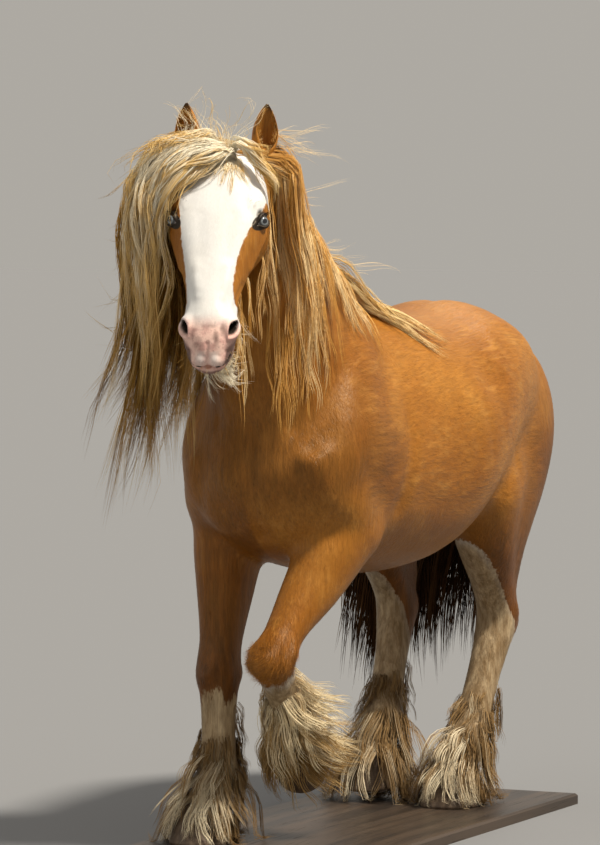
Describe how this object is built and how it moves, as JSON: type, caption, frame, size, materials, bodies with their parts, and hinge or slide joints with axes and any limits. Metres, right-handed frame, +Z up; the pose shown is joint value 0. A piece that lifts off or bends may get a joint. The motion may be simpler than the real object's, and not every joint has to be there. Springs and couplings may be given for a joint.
{
  "type": "horse figure",
  "caption": "Life-size gypsy vanner horse, still, one foreleg raised, with long mane, tail and feathered feet, on a flat base.",
  "frame": {"origin": "centre of the base's underside, which rests on the floor", "axes": "+Z up; the horse faces -Y, so +Y runs along it from head to tail; +X is to the horse's left"},
  "size_m": [0.7625, 2.1649, 1.9345],
  "materials": {
    "torso": "satin",
    "neck": "matte",
    "head": "satin",
    "ear_left": "satin",
    "ear_right": "satin",
    "eye_left": "gloss",
    "eye_right": "gloss",
    "tail": "matte",
    "foreleg_right": "satin",
    "foreleg_left": "satin",
    "hindleg_right": "satin",
    "hindleg_left": "satin",
    "foreleg_right_lower": "matte",
    "foreleg_left_lower": "matte",
    "hindleg_right_lower": "matte",
    "hindleg_left_lower": "matte",
    "foreleg_right_hoof": "satin",
    "foreleg_left_hoof": "satin",
    "hindleg_right_hoof": "satin",
    "hindleg_left_hoof": "satin",
    "stand_base": "satin"
  },
  "bodies": {
    "root": {"torso": "torso", "neck": "neck", "head": "head", "ear_left": "ear_left", "ear_right": "ear_right", "eye_left": "eye_left", "eye_right": "eye_right", "tail": "tail", "foreleg_right": "foreleg_right", "foreleg_left": "foreleg_left", "hindleg_right": "hindleg_right", "hindleg_left": "hindleg_left", "foreleg_right_lower": "foreleg_right_lower", "foreleg_left_lower": "foreleg_left_lower", "hindleg_right_lower": "hindleg_right_lower", "hindleg_left_lower": "hindleg_left_lower", "foreleg_right_hoof": "foreleg_right_hoof", "foreleg_left_hoof": "foreleg_left_hoof", "hindleg_right_hoof": "hindleg_right_hoof", "hindleg_left_hoof": "hindleg_left_hoof", "stand_base": "stand_base"}
  },
  "joints": []
}
